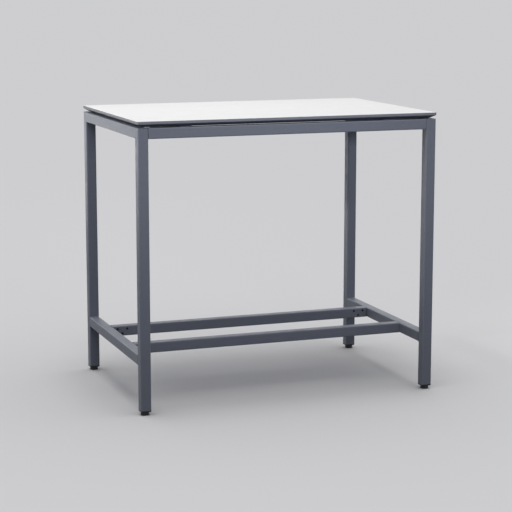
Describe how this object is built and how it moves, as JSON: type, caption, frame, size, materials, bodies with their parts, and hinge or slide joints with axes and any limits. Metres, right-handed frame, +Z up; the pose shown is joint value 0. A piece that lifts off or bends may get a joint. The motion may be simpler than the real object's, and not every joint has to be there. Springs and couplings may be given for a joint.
{
  "type": "standing meeting table",
  "caption": "Standing-height meeting table: white top with undercut edge on a square-tube steel frame, with foot rails between the end frames and levelling feet under the legs.",
  "frame": {"origin": "on the floor under the middle of the top", "axes": "+X along the table's length to the right, +Y to the rear, +Z up"},
  "size_m": [1.2, 0.8, 1.1],
  "materials": {
    "lacquered_board": "satin grey lacquer on the upright edge, dark sealer on the bevel and underside",
    "white_laminate": "fine-grained matt white laminate",
    "powder_coat": "blue-grey fine-texture powder coat",
    "black_screw": "black-oxide steel",
    "zinc_steel": "bright zinc plate",
    "black_plastic": "moulded black polyamide"
  },
  "bodies": {
    "table": {"tabletop_core": "lacquered_board", "tabletop_laminate": "white_laminate", "leg_front_left": "powder_coat", "leg_front_right": "powder_coat", "leg_rear_left": "powder_coat", "leg_rear_right": "powder_coat", "end_rail_left": "powder_coat", "end_rail_right": "powder_coat", "cross_rail_left": "powder_coat", "cross_rail_right": "powder_coat", "top_rail_front": "powder_coat", "top_rail_rear": "powder_coat", "foot_rail_front": "powder_coat", "foot_rail_rear": "powder_coat", "cross_member_left": "powder_coat", "cross_member_right": "powder_coat", "top_spigot_front_left": "powder_coat", "top_spigot_front_right": "powder_coat", "top_spigot_rear_left": "powder_coat", "top_spigot_rear_right": "powder_coat", "foot_spigot_front_left": "powder_coat", "foot_spigot_front_right": "powder_coat", "foot_spigot_rear_left": "powder_coat", "foot_spigot_rear_right": "powder_coat", "foot_rail_screw_front_left_1": "black_screw", "foot_rail_screw_front_left_2": "black_screw", "foot_rail_screw_front_left_3": "black_screw", "foot_rail_screw_front_right_1": "black_screw", "foot_rail_screw_front_right_2": "black_screw", "foot_rail_screw_front_right_3": "black_screw", "foot_rail_screw_rear_left_1": "black_screw", "foot_rail_screw_rear_left_2": "black_screw", "foot_rail_screw_rear_left_3": "black_screw", "foot_rail_screw_rear_right_1": "black_screw", "foot_rail_screw_rear_right_2": "black_screw", "foot_rail_screw_rear_right_3": "black_screw", "top_rail_screw_front_left": "black_screw", "top_rail_screw_front_right": "black_screw", "top_rail_screw_rear_left": "black_screw", "top_rail_screw_rear_right": "black_screw", "tab_screw_front_left": "zinc_steel", "tab_screw_front_right": "zinc_steel", "tab_screw_rear_left": "zinc_steel", "tab_screw_rear_right": "zinc_steel", "board_screw_front_left": "zinc_steel", "board_screw_front_right": "zinc_steel", "board_screw_rear_left": "zinc_steel", "board_screw_rear_right": "zinc_steel", "leg_insert_front_left": "black_plastic", "leg_insert_front_right": "black_plastic", "leg_insert_rear_left": "black_plastic", "leg_insert_rear_right": "black_plastic"},
    "foot_front_left": {"levelling_pad_front_left": "black_plastic"},
    "stud_front_left": {"levelling_stud_front_left": "zinc_steel"},
    "foot_front_right": {"levelling_pad_front_right": "black_plastic"},
    "stud_front_right": {"levelling_stud_front_right": "zinc_steel"},
    "foot_rear_left": {"levelling_pad_rear_left": "black_plastic"},
    "stud_rear_left": {"levelling_stud_rear_left": "zinc_steel"},
    "foot_rear_right": {"levelling_pad_rear_right": "black_plastic"},
    "stud_rear_right": {"levelling_stud_rear_right": "zinc_steel"}
  },
  "joints": [
    {"name": "foot_height_front_left", "type": "slide", "parent": "table", "child": "foot_front_left", "axis": [0, 0, -1], "range_m": [0, 0.012]},
    {"name": "stud_turn_front_left", "type": "hinge", "parent": "foot_front_left", "child": "stud_front_left", "pos_m": [-0.579, -0.379, 0.02], "axis": [0, 0, -1], "range_deg": [0, 2880]},
    {"name": "foot_height_front_right", "type": "slide", "parent": "table", "child": "foot_front_right", "axis": [0, 0, -1], "range_m": [0, 0.012]},
    {"name": "stud_turn_front_right", "type": "hinge", "parent": "foot_front_right", "child": "stud_front_right", "pos_m": [0.579, -0.379, 0.02], "axis": [0, 0, -1], "range_deg": [0, 2880]},
    {"name": "foot_height_rear_left", "type": "slide", "parent": "table", "child": "foot_rear_left", "axis": [0, 0, -1], "range_m": [0, 0.012]},
    {"name": "stud_turn_rear_left", "type": "hinge", "parent": "foot_rear_left", "child": "stud_rear_left", "pos_m": [-0.579, 0.379, 0.02], "axis": [0, 0, -1], "range_deg": [0, 2880]},
    {"name": "foot_height_rear_right", "type": "slide", "parent": "table", "child": "foot_rear_right", "axis": [0, 0, -1], "range_m": [0, 0.012]},
    {"name": "stud_turn_rear_right", "type": "hinge", "parent": "foot_rear_right", "child": "stud_rear_right", "pos_m": [0.579, 0.379, 0.02], "axis": [0, 0, -1], "range_deg": [0, 2880]}
  ],
  "couplings": [
    {"joint": "stud_turn_front_left", "follows": "foot_height_front_left", "rad_per_m": 4188.8},
    {"joint": "stud_turn_front_right", "follows": "foot_height_front_right", "rad_per_m": 4188.8},
    {"joint": "stud_turn_rear_left", "follows": "foot_height_rear_left", "rad_per_m": 4188.8},
    {"joint": "stud_turn_rear_right", "follows": "foot_height_rear_right", "rad_per_m": 4188.8}
  ]
}
